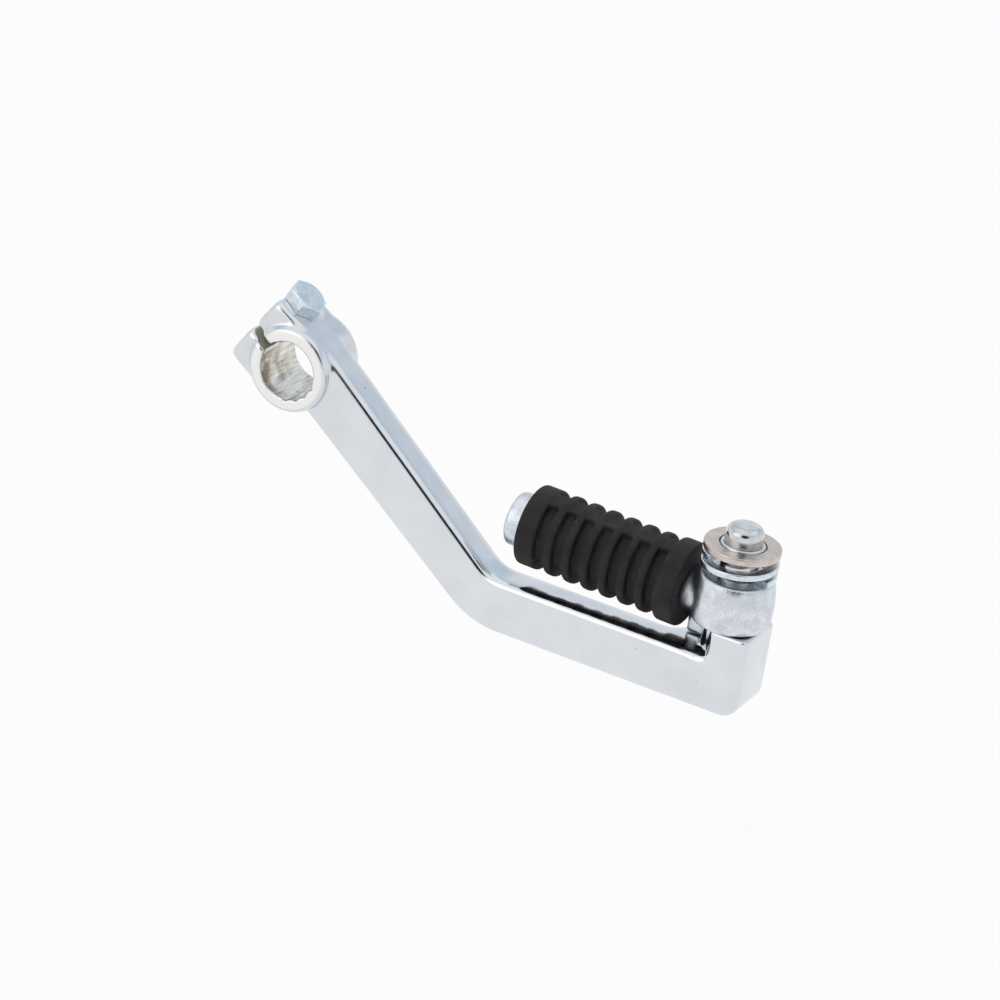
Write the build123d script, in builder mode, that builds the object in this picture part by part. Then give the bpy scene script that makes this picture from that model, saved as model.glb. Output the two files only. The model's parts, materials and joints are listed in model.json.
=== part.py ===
from build123d import *
import os
from math import cos, hypot, radians, sin, tan

# Kick start lever: a bent cast arm that clamps on a kick shaft, with a folding pedal on a pin at its far end.
# Frame: origin at the middle of the shaft bore, +X towards the pedal end, +Y towards the engine along
# the bore, +Z up along the pedal's pin. The pedal is drawn folded back over the arm.
# Lengths are millimetres, angles are degrees.

# Shaft hub
bore_radius = 8.3
hub_radius = 12.2
hub_length = 19.2
hub_edge = 1.1
serration_depth = 0.8
serration_pitch = 22.0
serration_count = 4
serration_middle = -52.5

# Clamp lug and its pinch bolt
slot_angle = 147.0
slot_width = 2.5
lug_reach = 15.8
lug_upper_width = 11.6
lug_lower_width = 12.1
lug_setback = 1.7
lug_corner = 1.8
lug_edge = 1.7
bolt_radius = 3.0
bolt_length = 22.0
bolt_across_flats = 10.0
bolt_head_height = 4.0
bolt_turn = 16.0
bolt_head_bevel_angle = 30.0
bolt_head_flat_share = 0.95
bolt_end_chamfer = 0.7
bolt_seat_depth = 0.4
bolt_seat_radius = 6.6
bolt_hole_clearance = 0.3
bolt_thread_clearance = 0.05
bolt_shaft_clearance = 0.1

# Arm
arm_inset = 2.5
arm_thickness = 11.5
upper_top_offset = 12.3
upper_top_angle = 39.2
upper_bottom_offset = 5.3
upper_bottom_angle = 37.0
arm_drop = 39.6
lower_height = 15.4
bend_inner_radius = 10.8
bend_outer_radius = 25.0
arm_edge = 2.0

# Boss at the pedal end, round the pin
pin_reach = 135.5
boss_half_width = 9.2
boss_end = 9.8
boss_rise = 8.2
toe_radius = 4.6
flare_length = 6.0
flare_radius = 4.0
stop_wall_length = 11.0
stop_offset = 1.3
stop_clearance = 0.3
neck_radius = 6.7

# Folding pedal
pedal_running_clearance = 0.06
pedal_thrust_clearance = 0.2
pedal_hub_height = 13.8
pedal_hub_top_radius = 10.2
pedal_hub_middle_radius = 11.2
pedal_hub_bottom_radius = 10.6
pedal_hub_edge = 1.0
peg_height = 5.6
peg_tilt = 1.5
peg_core_radius = 5.3
peg_head_radius = 7.6
peg_head_length = 5.5
peg_head_edge = 1.0
peg_root_radius = 5.5
peg_flare_start = 7.4
peg_flare_end = 9.4
peg_neck_fillet = 1.6
leg_width = 5.3
leg_length = 5.6
leg_foot_clearance = 0.3
leg_edge = 1.0

# Pedal rubber
rubber_length = 48.2
rubber_radius = 11.3
rubber_flange_radius = 11.7
rubber_groove_depth = 2.2
rubber_collar = 5.8
rubber_rib_width = 2.5
rubber_rib_count = 6
rubber_edge = 0.6
rubber_web_width = 3.2
rubber_web_drop = 1.0
rubber_web_count = 2
rubber_web_angle = 77.0
rubber_fit_clearance = 0.1
rubber_root_gap = 12.6

# Pin with its spring, washer and retaining ring
pin_radius = 5.2
pin_depth = 17.0
pin_rise = 5.4
pin_dome = 2.2
pin_press_clearance = 0.02
spring_space = 7.0
spring_wire_height = 1.8
spring_wire_width = 3.0
spring_turns = 1.715
spring_start_angle = -18.0
spring_end_clearance = 0.1
washer_radius = 10.5
washer_thickness = 2.0
washer_edge = 0.25
washer_hole_clearance = 0.25
washer_recess_radius = 6.5
washer_recess_depth = 1.0
ring_wire_radius = 0.65
ring_groove_depth = 0.35
ring_groove_clearance = 0.03
ring_gap_angle = 28.0
ring_gap_middle = 70.0

# Worked-out places
serration_start = serration_middle - (serration_count - 1) * serration_pitch / 2
arm_front = arm_inset - hub_length / 2
arm_back = arm_front + arm_thickness
arm_top = -arm_drop
arm_bottom = arm_top - lower_height
pin_y = arm_front + boss_half_width
boss_back = pin_y + boss_half_width
boss_tip = pin_reach + boss_end
boss_top = arm_top + boss_rise
flare_boss_corner = (pin_reach - stop_wall_length, boss_back)
flare_arm_corner = (pin_reach - stop_wall_length - flare_length, arm_back)
lug_front = lug_setback - hub_length / 2
lug_back = hub_length / 2
bolt_y = (lug_front + lug_back) / 2
bolt_offset = bore_radius + bolt_radius + bolt_shaft_clearance
bolt_head_flat = bolt_head_flat_share * bolt_across_flats / 2
bolt_bevel_drop = (bolt_across_flats - bolt_head_flat) * tan(radians(bolt_head_bevel_angle))
pedal_bottom = boss_top + pedal_thrust_clearance
pedal_top = pedal_bottom + pedal_hub_height
peg_z = pedal_bottom + peg_height
leg_near_y = pin_y + stop_offset + stop_clearance
leg_far_y = leg_near_y + leg_width
stop_wall_y = leg_far_y + stop_clearance
rubber_end = pin_reach - rubber_root_gap
rubber_start = rubber_end - rubber_length
groove_radius = rubber_radius - rubber_groove_depth
rib_span = rubber_length - 2 * rubber_collar
rib_pitch = (rib_span + rubber_rib_width) / (rubber_rib_count + 1)
rubber_bore = peg_core_radius + rubber_fit_clearance
washer_bottom = pedal_top + spring_space
washer_top = washer_bottom + washer_thickness
pin_bottom = boss_top - pin_depth
pin_top = washer_top + pin_rise
ring_z = washer_top - washer_recess_depth + ring_wire_radius
ring_radius = pin_radius - ring_groove_depth + ring_wire_radius
ring_start = ring_gap_middle + ring_gap_angle / 2
spring_radius = washer_radius - spring_wire_width / 2
spring_z = pedal_top + spring_end_clearance + spring_wire_height / 2
spring_rise = spring_space - spring_wire_height - 2 * spring_end_clearance


def slope_point(offset, angle, height):
    """Point of the side view, at a height, on a line that falls away from the hub.

    offset is the line's distance from the bore's axis, positive above it, and angle is its fall.
    """
    return ((offset / cos(radians(angle)) - height) / tan(radians(angle)), height)


def slope_foot(offset, angle):
    """Point of such a line that is nearest to the bore's axis."""
    return (offset * sin(radians(angle)), offset * cos(radians(angle)))


def turned(angle):
    """Direction in the plan view at an angle from +X towards +Y."""
    return (cos(radians(angle)), sin(radians(angle)), 0)


inner_corner = slope_point(upper_top_offset, upper_top_angle, arm_top)
outer_corner = slope_point(-upper_bottom_offset, upper_bottom_angle, arm_bottom)
toe_corner = (boss_tip, arm_bottom)

# Working planes: the side view, the lug with its own X along the slot, the bolt, the pin and the peg
side_plane = Plane((0, 0, 0), x_dir=(1, 0, 0), z_dir=(0, -1, 0))
slot_direction = (cos(radians(slot_angle)), 0, sin(radians(slot_angle)))
bolt_direction = (sin(radians(slot_angle)), 0, -cos(radians(slot_angle)))
lug_plane = Plane((0, 0, 0), x_dir=slot_direction, z_dir=(0, -1, 0))
bolt_foot = (bolt_offset * slot_direction[0], bolt_y, bolt_offset * slot_direction[2])
bolt_plane = Plane(bolt_foot, x_dir=(0, 1, 0), z_dir=bolt_direction)
bolt_seat = bolt_plane.offset(lug_upper_width - bolt_seat_depth)
bolt_section = Plane(bolt_seat.origin, x_dir=(0, 1, 0), z_dir=(-slot_direction[0], 0, -slot_direction[2]))
bolt_axis = Axis(bolt_seat.origin, bolt_direction)
pin_plane = Plane((pin_reach, pin_y, 0))
pin_section = Plane((pin_reach, pin_y, 0), x_dir=(1, 0, 0), z_dir=(0, -1, 0))
pin_axis = Axis((pin_reach, pin_y, 0), (0, 0, 1))
ring_section = Plane((pin_reach, pin_y, 0), x_dir=turned(ring_start), z_dir=turned(ring_start - 90))
spring_plane = Plane((pin_reach, pin_y, spring_z), x_dir=turned(spring_start_angle))
peg_direction = (cos(radians(peg_tilt)), 0, -sin(radians(peg_tilt)))
peg_far_point = (pin_reach - pin_reach * peg_direction[0], pin_y, peg_z - pin_reach * peg_direction[2])
peg_section = Plane(peg_far_point, x_dir=peg_direction, z_dir=(0, -1, 0))
peg_axis = Axis(peg_far_point, peg_direction)
web_section = Plane(peg_far_point, x_dir=(0, 1, 0), z_dir=peg_direction)

# Arm and lower boss: the side view cut to the plan view, with its front and back outlines rounded
with BuildPart() as arm_body:
    with BuildSketch(side_plane):
        with BuildLine():
            Polyline(
                slope_foot(upper_top_offset, upper_top_angle),
                inner_corner,
                (boss_tip, arm_top),
                toe_corner,
                outer_corner,
                slope_foot(-upper_bottom_offset, upper_bottom_angle),
                close=True,
            )
        make_face()
        fillet(vertices().sort_by_distance(inner_corner)[0], bend_inner_radius)
        fillet(vertices().sort_by_distance(outer_corner)[0], bend_outer_radius)
        fillet(vertices().sort_by_distance(toe_corner)[0], toe_radius)
    extrude(amount=2 * hub_length, both=True)
    with BuildSketch(Plane.XY):
        with BuildLine():
            Polyline(
                (-hub_radius, arm_front),
                (boss_tip, arm_front),
                (boss_tip, boss_back),
                flare_boss_corner,
                flare_arm_corner,
                (-hub_radius, arm_back),
                close=True,
            )
        make_face()
        fillet(vertices().sort_by_distance(flare_boss_corner)[0], flare_radius)
        fillet(vertices().sort_by_distance(flare_arm_corner)[0], flare_radius)
    extrude(amount=2 * (arm_drop + lower_height), both=True, mode=Mode.INTERSECT)
    front_face = faces().filter_by(Axis.Y).sort_by(Axis.Y)[0]
    fillet(front_face.edges(), arm_edge)
    back_edges = edges().filter_by(lambda edge: edge.bounding_box().min.Y > arm_back - arm_edge / 2)
    back_seams = back_edges.filter_by(Axis.Z).filter_by(lambda edge: edge.center().X < pin_reach)
    fillet(back_edges - back_seams, arm_edge)

# Clamp lug: a block tangent to the hub, with its outer corners and its front and back outlines rounded
with BuildPart() as clamp_lug:
    with BuildSketch(lug_plane.offset(-lug_back)):
        with Locations((lug_reach / 2, (lug_lower_width - lug_upper_width) / 2)):
            Rectangle(lug_reach, lug_lower_width + lug_upper_width)
        fillet(vertices().group_by(Axis.X)[-1], lug_corner)
    extrude(amount=lug_back - lug_front)
    fillet(faces().sort_by(Axis.Y)[0].edges() + faces().sort_by(Axis.Y)[-1].edges(), lug_edge)

# Lever arm: the arm with its hub, lug and stop added, then bored, slotted and drilled
with BuildPart() as lever_arm:
    with BuildSketch(side_plane.offset(-hub_length / 2)):
        Circle(hub_radius)
    extrude(amount=hub_length)
    fillet(edges().filter_by(GeomType.CIRCLE), hub_edge)
    add(clamp_lug.part)
    add(arm_body.part)
    with BuildSketch(Plane.XY.offset(arm_top - 2 * arm_edge)):
        with BuildLine():
            Polyline(
                (pin_reach - stop_offset, arm_front),
                (boss_tip, arm_front),
                (boss_tip, boss_back),
                flare_boss_corner,
                (pin_reach - stop_wall_length, stop_wall_y),
                (pin_reach - stop_offset, stop_wall_y),
                close=True,
            )
        make_face()
        fillet(vertices().group_by(Axis.X)[-1], arm_edge)
        with Locations((pin_reach, pin_y)):
            Circle(neck_radius)
    extrude(amount=boss_rise + 2 * arm_edge)
    with BuildSketch(side_plane):
        Circle(bore_radius)
    extrude(amount=hub_length, both=True, mode=Mode.SUBTRACT)
    with BuildSketch(side_plane):
        with PolarLocations(bore_radius, serration_count, serration_start, serration_count * serration_pitch):
            Polygon(
                (serration_depth, 0),
                (-serration_depth, 2 * serration_depth),
                (-serration_depth, -2 * serration_depth),
                align=None,
            )
    extrude(amount=hub_length, both=True, mode=Mode.SUBTRACT)
    with BuildSketch(lug_plane):
        with Locations((lug_reach, 0)):
            Rectangle(2 * lug_reach, slot_width)
    extrude(amount=hub_length, both=True, mode=Mode.SUBTRACT)
    with BuildSketch(bolt_plane):
        Circle(bolt_radius + bolt_hole_clearance)
    extrude(amount=2 * lug_upper_width, mode=Mode.SUBTRACT)
    with BuildSketch(bolt_plane):
        Circle(bolt_radius + bolt_thread_clearance)
    extrude(amount=-2 * lug_lower_width, mode=Mode.SUBTRACT)
    with BuildSketch(bolt_seat):
        Circle(bolt_seat_radius)
    extrude(amount=lug_upper_width, mode=Mode.SUBTRACT)
    with BuildSketch(pin_plane.offset(pin_bottom)):
        Circle(pin_radius + pin_press_clearance)
    extrude(amount=2 * pin_depth, mode=Mode.SUBTRACT)

# Pinch bolt: bevelled hexagon head on the lug's upper face, shank across the slot
with BuildPart() as pinch_bolt:
    with BuildSketch(bolt_seat):
        RegularPolygon(bolt_across_flats / 2, 6, major_radius=False, rotation=bolt_turn)
    extrude(amount=bolt_head_height)
    with BuildSketch(bolt_section):
        with BuildLine():
            Polyline(
                (0, 0),
                (bolt_across_flats, 0),
                (bolt_across_flats, bolt_head_height - bolt_bevel_drop),
                (bolt_head_flat, bolt_head_height),
                (0, bolt_head_height),
                close=True,
            )
        make_face()
    revolve(axis=bolt_axis, mode=Mode.INTERSECT)
    with BuildSketch(bolt_seat):
        Circle(bolt_radius)
    extrude(amount=-bolt_length)
    shank_end = faces().sort_by(bolt_axis)[0]
    chamfer(shank_end.edges(), bolt_end_chamfer)

# Pivot pin: pressed into the boss, domed on top, with a groove for the retaining ring
with BuildPart() as pivot_pin:
    with BuildSketch(pin_plane.offset(pin_bottom)):
        Circle(pin_radius)
    extrude(amount=pin_top - pin_bottom)
    fillet(faces().sort_by(Axis.Z)[-1].edges(), pin_dome)
    with BuildSketch(pin_section):
        with Locations((ring_radius, ring_z)):
            Circle(ring_wire_radius + ring_groove_clearance)
    revolve(axis=pin_axis, mode=Mode.SUBTRACT)

# Retaining ring: open ring of round wire, snapped into the pin's groove
with BuildPart() as retaining_ring:
    with BuildSketch(ring_section):
        with Locations((ring_radius, ring_z)):
            Circle(ring_wire_radius)
    revolve(axis=pin_axis, revolution_arc=360 - ring_gap_angle)

# Flat washer: held down by the ring, which lies in its recess
with BuildPart() as flat_washer:
    with BuildSketch(pin_plane.offset(washer_bottom)):
        Circle(washer_radius)
        Circle(pin_radius + washer_hole_clearance, mode=Mode.SUBTRACT)
    extrude(amount=washer_thickness)
    rim_edges = edges().filter_by(GeomType.CIRCLE).group_by(SortBy.RADIUS)[-1]
    fillet(rim_edges, washer_edge)
    with BuildSketch(pin_plane.offset(washer_top)):
        Circle(washer_recess_radius)
    extrude(amount=-washer_recess_depth, mode=Mode.SUBTRACT)

# Pedal spring: flat wire wound edgewise into a short open coil
with BuildPart() as pedal_spring:
    with BuildLine(spring_plane) as spring_path:
        Helix(pitch=spring_rise / spring_turns, height=spring_rise, radius=spring_radius)
    with BuildSketch(Plane(spring_path.line @ 0, x_dir=spring_plane.x_dir, z_dir=spring_path.line % 0)):
        Rectangle(spring_wire_width, spring_wire_height)
    sweep(path=spring_path.line, is_frenet=True)

# Folding pedal: barrel-shaped hub on the pin, peg with a flared neck, and a leg that stops the swing
with BuildPart() as folding_pedal:
    with BuildSketch(peg_section):
        with BuildLine():
            Polyline(
                (rubber_start - peg_head_length, 0),
                (rubber_start - peg_head_length, peg_head_radius),
                (rubber_start, peg_head_radius),
                (rubber_start, peg_core_radius),
                (pin_reach, peg_core_radius),
                (pin_reach, 0),
                close=True,
            )
        make_face()
        fillet(vertices().group_by(Axis.X)[0].sort_by(Axis.Y)[-1], peg_head_edge)
    revolve(axis=peg_axis)
    with BuildSketch(web_section.offset(rubber_end)):
        Ellipse(peg_flare_start, peg_root_radius)
    with BuildSketch(web_section.offset(pin_reach)):
        Ellipse(peg_flare_end, peg_root_radius)
    loft()
    with BuildSketch(pin_section):
        with BuildLine():
            Polyline(
                (pedal_hub_bottom_radius, pedal_bottom),
                (0, pedal_bottom),
                (0, pedal_top),
                (pedal_hub_top_radius, pedal_top),
            )
            ThreePointArc(
                (pedal_hub_top_radius, pedal_top),
                (pedal_hub_middle_radius, peg_z),
                (pedal_hub_bottom_radius, pedal_bottom),
            )
        make_face()
        fillet(vertices().sort_by(Axis.X)[-2:], pedal_hub_edge)
    revolve(axis=pin_axis)
    hub_joint = edges().filter_by(GeomType.BSPLINE).filter_by(
        lambda edge: hypot(edge.center().X - pin_reach, edge.center().Y - pin_y) < pedal_hub_middle_radius
    )
    fillet(hub_joint, peg_neck_fillet)
    with BuildSketch(Plane.XY.offset(arm_top + leg_foot_clearance)):
        with Locations((rubber_end + leg_length / 2, leg_near_y + leg_width / 2)):
            RectangleRounded(leg_length, leg_width, leg_edge)
    extrude(amount=peg_z - arm_top - leg_foot_clearance)
    with BuildSketch(pin_plane.offset(pedal_bottom)):
        Circle(pin_radius + pedal_running_clearance)
    extrude(amount=2 * pedal_hub_height, both=True, mode=Mode.SUBTRACT)

# Pedal rubber: sleeve with end collars, ring ribs between them and webs along it
with BuildPart() as pedal_rubber:
    with BuildSketch(peg_section):
        with Locations(((rubber_start + rubber_end) / 2, (rubber_bore + groove_radius) / 2)):
            Rectangle(rubber_length, groove_radius - rubber_bore)
        with Locations(((rubber_start + rubber_end) / 2, (rubber_bore + rubber_radius) / 2)):
            with GridLocations(rib_pitch, 1, rubber_rib_count, 1):
                Rectangle(rubber_rib_width, rubber_radius - rubber_bore)
        with Locations((rubber_start + rubber_collar / 2, (rubber_bore + rubber_radius) / 2)):
            Rectangle(rubber_collar, rubber_radius - rubber_bore)
        with Locations((rubber_end - rubber_collar / 2, (rubber_bore + rubber_flange_radius) / 2)):
            Rectangle(rubber_collar, rubber_flange_radius - rubber_bore)
        fillet(vertices().filter_by(lambda corner: corner.Y > groove_radius + rubber_edge), rubber_edge)
    revolve(axis=peg_axis)
    with BuildSketch(web_section.offset(rubber_start + rubber_collar / 2)):
        with PolarLocations((groove_radius + rubber_radius) / 2, rubber_web_count, 180 - rubber_web_angle):
            Rectangle(2 * rubber_groove_depth, rubber_web_width)
        Circle(rubber_radius - rubber_web_drop, mode=Mode.INTERSECT)
    extrude(amount=rubber_length - rubber_collar)

pieces = {
    "lever_arm": lever_arm,
    "pinch_bolt": pinch_bolt,
    "pivot_pin": pivot_pin,
    "retaining_ring": retaining_ring,
    "flat_washer": flat_washer,
    "pedal_spring": pedal_spring,
    "folding_pedal": folding_pedal,
    "pedal_rubber": pedal_rubber,
}
os.makedirs("parts", exist_ok=True)
for name, piece in pieces.items():
    piece.part.label = name
    export_step(piece.part, f"parts/{name}.step")
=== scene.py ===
"""Looks of a chromed kick start lever with a folding, rubber-covered pedal, in the pack's own frame."""

import json
import logging
import math
from dataclasses import dataclass
from enum import Enum
from typing import Any, Callable, Optional

import bmesh
import bpy
from mathutils import Matrix, Vector


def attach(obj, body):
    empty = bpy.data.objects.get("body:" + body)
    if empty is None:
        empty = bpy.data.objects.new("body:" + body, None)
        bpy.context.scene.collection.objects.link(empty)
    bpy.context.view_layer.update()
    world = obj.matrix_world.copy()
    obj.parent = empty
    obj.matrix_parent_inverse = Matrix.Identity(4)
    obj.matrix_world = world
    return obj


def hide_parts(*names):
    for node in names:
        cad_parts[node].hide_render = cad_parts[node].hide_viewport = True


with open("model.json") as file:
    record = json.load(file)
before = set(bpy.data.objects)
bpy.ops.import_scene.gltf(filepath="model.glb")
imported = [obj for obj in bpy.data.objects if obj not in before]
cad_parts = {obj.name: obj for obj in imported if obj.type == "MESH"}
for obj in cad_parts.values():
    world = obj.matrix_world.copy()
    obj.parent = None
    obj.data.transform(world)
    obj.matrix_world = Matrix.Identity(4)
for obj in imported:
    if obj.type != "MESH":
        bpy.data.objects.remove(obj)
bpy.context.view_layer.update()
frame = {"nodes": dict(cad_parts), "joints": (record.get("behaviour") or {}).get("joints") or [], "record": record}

LOG = logging.getLogger("kick_lever")
MM = 0.001
# Corners of a solid nearer than this, in millimetres, are one corner
WELD = 0.002
# Share of the way to its neighbours' middle that a corner moves in one round of smoothing
SMOOTHING = 0.5
# Steps in each rounded corner of a swept outline
CORNER_STEPS = 4


class Body(Enum):
    """The two rigid bodies of the part."""

    LEVER = "lever"
    PEDAL = "pedal"


def linear(code: str, alpha: float = 1.0) -> tuple[float, float, float, float]:
    """Turns an sRGB hex colour into the linear colour that a socket takes.

    Args:
        code: Six hex digits, with or without a leading hash.
        alpha: Opacity of the colour.

    Returns:
        Linear red, green and blue, and alpha.
    """
    digits = code.lstrip("#")
    parts = [int(digits[i : i + 2], 16) / 255 for i in (0, 2, 4)]
    red, green, blue = [p / 12.92 if p <= 0.04045 else ((p + 0.055) / 1.055) ** 2.4 for p in parts]
    return red, green, blue, alpha


def per_size(size: float) -> float:
    """Texture scale, on coordinates in metres, whose features are about size millimetres wide."""
    return 1 / (size * MM)


def node(tree: bpy.types.NodeTree, kind: str, inputs: Optional[dict[Any, Any]] = None,
         stops: Optional[list[tuple[float, str]]] = None, **settings: Any) -> bpy.types.Node:
    """Adds a node with its settings, values and links.

    Args:
        tree: Node tree that gets the node.
        kind: Blender's name of the node type.
        inputs: Input name or place to a value, or to the output socket that it is linked from.
        stops: Rising places from 0 to 1, each with its sRGB hex colour, if the node has a colour ramp.
        settings: Properties of the node.

    Returns:
        The new node.
    """
    made = tree.nodes.new(kind)
    for name, value in settings.items():
        setattr(made, name, value)
    for place, value in (inputs or {}).items():
        if isinstance(value, bpy.types.NodeSocket):
            tree.links.new(value, made.inputs[place])
        else:
            made.inputs[place].default_value = value
    for number, (place, code) in enumerate(stops or []):
        elements = made.color_ramp.elements
        element = elements[number] if number < len(elements) else elements.new(place)
        element.position = place
        element.color = linear(code)
    return made


@dataclass(frozen=True)
class Finish:
    """What every finish has: a name, and a shader on Object coordinates."""

    name: str

    def make(self) -> bpy.types.Material:
        """Builds the material.

        Returns:
            The finished material.
        """
        material = bpy.data.materials.new(self.name)
        material.use_nodes = True
        tree = material.node_tree
        tree.nodes.clear()
        shader = node(tree, "ShaderNodeBsdfPrincipled")
        node(tree, "ShaderNodeOutputMaterial", {"Surface": shader.outputs["BSDF"]})
        place = node(tree, "ShaderNodeTexCoord").outputs["Object"]
        self.dress(tree, shader, place)
        return material

    def dress(self, tree: bpy.types.NodeTree, shader: bpy.types.Node, place: bpy.types.NodeSocket) -> None:
        """Links this finish's patterns to the shader.

        Args:
            tree: The material's node tree.
            shader: Its Principled shader.
            place: Object coordinates, in metres.
        """
        raise NotImplementedError


@dataclass(frozen=True)
class ChromePlate(Finish):
    """Chrome on a polished steel casting: a bright mirror, ground at the hub's ends, worn in bore and slot.

    Sizes are in millimetres.
    """

    bore_radius: float
    bore_length: float
    slot_angle: float
    slot_width: float
    face_radius: float = 12.6
    dull_radius: float = 19.0
    dull_fade: float = 6.0
    groove: float = 0.95
    rim: float = 0.3
    skin: float = 0.12
    broach_line: float = 0.5
    stain_width: float = 5.0
    smear_width: float = 9.0
    pit_spacing: float = 2.6
    pit_depth: float = 0.05
    patch_width: float = 14.0
    wave_length: float = 11.0
    wave_height: float = 0.1
    hair_spacing: float = 0.4
    hair_height: float = 0.004
    plate: str = "DFE2E5"
    smear: str = "D6D9DE"
    pit: str = "7C7B78"
    ground: str = "F4F3F1"
    worn: str = "F2F0EC"
    streak: str = "C4BBAF"
    stain: str = "93806A"
    slot: str = "A39E8C"

    def dress(self, tree: bpy.types.NodeTree, shader: bpy.types.Node, place: bpy.types.NodeSocket) -> None:
        """Links the plate, its pits and hairlines, the ground ends and the worn bore and slot.

        Args:
            tree: The material's node tree.
            shader: Its Principled shader.
            place: Object coordinates, in metres.
        """
        # Distances from the bore's axis, which is Y, and from its middle
        half = self.bore_length / 2
        flat_inputs = {0: place, 1: (1.0, 0.0, 1.0)}
        flat = node(tree, "ShaderNodeVectorMath", flat_inputs, operation="MULTIPLY").outputs[0]
        reach = node(tree, "ShaderNodeVectorMath", {0: flat}, operation="LENGTH").outputs["Value"]
        depth = node(tree, "ShaderNodeSeparateXYZ", {"Vector": place}).outputs["Y"]
        off = node(tree, "ShaderNodeMath", {0: depth}, operation="ABSOLUTE").outputs[0]
        # 1 inside the bore, short of its ends
        bore_limit = (self.bore_radius + self.groove) * MM
        deep = node(tree, "ShaderNodeMath", {0: reach, 1: bore_limit}, operation="LESS_THAN").outputs[0]
        short_limit = (half - self.rim) * MM
        short = node(tree, "ShaderNodeMath", {0: off, 1: short_limit}, operation="LESS_THAN").outputs[0]
        in_bore = node(tree, "ShaderNodeMath", {0: deep, 1: short}, operation="MULTIPLY").outputs[0]
        # 1 on the hub's two end faces
        face_limit = self.face_radius * MM
        inside = node(tree, "ShaderNodeMath", {0: reach, 1: face_limit}, operation="LESS_THAN").outputs[0]
        end_limit = (half - self.skin) * MM
        beyond = node(tree, "ShaderNodeMath", {0: off, 1: end_limit}, operation="GREATER_THAN").outputs[0]
        on_end = node(tree, "ShaderNodeMath", {0: inside, 1: beyond}, operation="MULTIPLY").outputs[0]
        # 1 on the slot's walls
        turn = math.radians(self.slot_angle)
        ways = ((math.cos(turn), 0.0, math.sin(turn)), (-math.sin(turn), 0.0, math.cos(turn)))
        along, across = [
            node(tree, "ShaderNodeVectorMath", {0: place, 1: way}, operation="DOT_PRODUCT").outputs["Value"]
            for way in ways
        ]
        aside = node(tree, "ShaderNodeMath", {0: across}, operation="ABSOLUTE").outputs[0]
        slot_limit = (self.slot_width / 2 + self.skin) * MM
        near = node(tree, "ShaderNodeMath", {0: aside, 1: slot_limit}, operation="LESS_THAN").outputs[0]
        forward = node(tree, "ShaderNodeMath", {0: along, 1: 0.0}, operation="GREATER_THAN").outputs[0]
        in_slot = node(tree, "ShaderNodeMath", {0: near, 1: forward}, operation="MULTIPLY").outputs[0]

        # Bore: broach lines 0.5 mm wide along Y, and brown stains 5 mm wide that fade inwards, on worn steel
        drawn_inputs = {"Vector": place, "Scale": (1.0, 0.08, 1.0)}
        drawn = node(tree, "ShaderNodeMapping", drawn_inputs).outputs["Vector"]
        line_inputs = {"Vector": drawn, "Scale": per_size(self.broach_line), "Detail": 4.0}
        lines = node(tree, "ShaderNodeTexNoise", line_inputs).outputs["Fac"]
        line_stops = [(0.3, self.streak), (0.6, self.worn)]
        lined = node(tree, "ShaderNodeValToRGB", {"Fac": lines}, line_stops).outputs["Color"]
        stain_inputs = {"Vector": place, "Scale": per_size(self.stain_width), "Detail": 3.0}
        stains = node(tree, "ShaderNodeTexNoise", stain_inputs).outputs["Fac"]
        stain_stops = [(0.36, self.stain), (0.54, "FFFFFF")]
        stained = node(tree, "ShaderNodeValToRGB", {"Fac": stains}, stain_stops).outputs["Color"]
        fade_inputs = {
            "Value": depth,
            "From Min": -half * MM,
            "From Max": half * MM,
            "To Min": 1.0,
            "To Max": 0.2,
        }
        fade = node(tree, "ShaderNodeMapRange", fade_inputs).outputs["Result"]
        bore_inputs = {"Factor": fade, 6: lined, 7: stained}
        bore = node(tree, "ShaderNodeMix", bore_inputs, data_type="RGBA", blend_type="MULTIPLY").outputs[2]

        # Plate: smears 9 mm wide, and pits up to half a millimetre, drawn coarser than real ones to show
        smear_inputs = {"Vector": place, "Scale": per_size(self.smear_width), "Detail": 5.0}
        smears = node(tree, "ShaderNodeTexNoise", smear_inputs).outputs["Fac"]
        plate_stops = [(0.3, self.smear), (0.7, self.plate)]
        plate = node(tree, "ShaderNodeValToRGB", {"Fac": smears}, plate_stops).outputs["Color"]
        cell_inputs = {"Vector": place, "Scale": per_size(self.pit_spacing)}
        cells = node(tree, "ShaderNodeTexVoronoi", cell_inputs, feature="F1").outputs["Distance"]
        patch_inputs = {"Vector": place, "Scale": per_size(self.patch_width), "Detail": 2.0}
        patches = node(tree, "ShaderNodeTexNoise", patch_inputs).outputs["Fac"]
        width_inputs = {"Value": patches, "From Min": 0.48, "From Max": 0.75, "To Min": 0.0, "To Max": 0.11}
        widths = node(tree, "ShaderNodeMapRange", width_inputs).outputs["Result"]
        pits = node(tree, "ShaderNodeMath", {0: cells, 1: widths}, operation="LESS_THAN").outputs[0]

        colour = plate
        pit, ground, slot = linear(self.pit), linear(self.ground), linear(self.slot)
        for mask, cover in ((pits, pit), (on_end, ground), (in_bore, bore), (in_slot, slot)):
            cover_inputs = {"Factor": mask, 6: colour, 7: cover}
            colour = node(tree, "ShaderNodeMix", cover_inputs, data_type="RGBA").outputs[2]
        tree.links.new(colour, shader.inputs["Base Color"])

        shine_inputs = {"Value": smears, "From Min": 0.3, "From Max": 0.7, "To Min": 0.05, "To Max": 0.11}
        rough = node(tree, "ShaderNodeMapRange", shine_inputs).outputs["Result"]
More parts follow.
